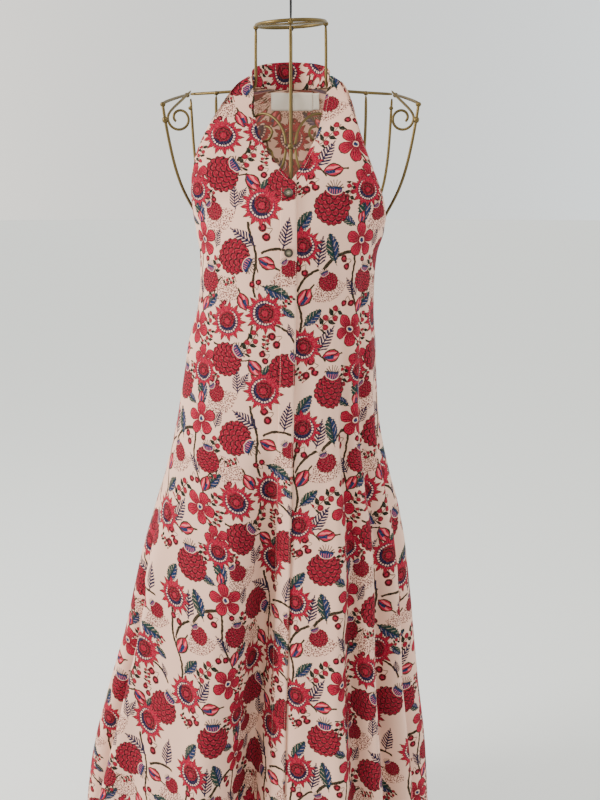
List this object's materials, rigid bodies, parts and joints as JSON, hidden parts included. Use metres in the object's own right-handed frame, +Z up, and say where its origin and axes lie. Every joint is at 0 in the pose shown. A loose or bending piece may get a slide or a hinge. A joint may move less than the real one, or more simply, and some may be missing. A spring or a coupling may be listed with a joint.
{
  "type": "racerback maxi dress on a hanging wire dress form",
  "caption": "Long sleeveless racerback dress with a V neck and buttoned front placket, worn by a limbless wire dress form that hangs from a hook.",
  "frame": {"origin": "the inside of the hook's crown, where the form hangs", "axes": "+Z up along the dress, -Y the way the dress faces, +X towards the wearer's left"},
  "size_m": [0.6496, 0.5027, 1.5688],
  "materials": {
    "cloth": "printed plain-weave cotton",
    "button": "dark shell",
    "label": "woven satin tape",
    "wire": "antique",
    "hook": "black"
  },
  "bodies": {
    "root": {"front_right": "cloth", "front_left": "cloth", "back": "cloth", "neck_band": "cloth", "placket": "cloth", "button_1": "button", "button_2": "button", "neck_label": "label", "size_tab": "label", "hook": "hook", "hook_nut": "hook", "form_ring_bar": "wire", "form_neck_ring": "wire", "form_centre_front": "wire", "form_centre_back": "wire", "form_princess_right": "wire", "form_princess_left": "wire", "form_back_right": "wire", "form_back_left": "wire", "form_shoulder_right": "wire", "form_shoulder_left": "wire", "form_armhole_right": "wire", "form_armhole_left": "wire", "form_knot_right": "wire", "form_knot_left": "wire", "form_shoulder_scroll_right": "wire", "form_shoulder_scroll_left": "wire", "form_upper_scroll_right": "wire", "form_upper_scroll_left": "wire", "form_lower_scroll_right": "wire", "form_lower_scroll_left": "wire", "form_collar": "wire", "form_bust_hoop": "wire", "form_waist_hoop": "wire", "form_hip_hoop": "wire"}
  },
  "joints": []
}
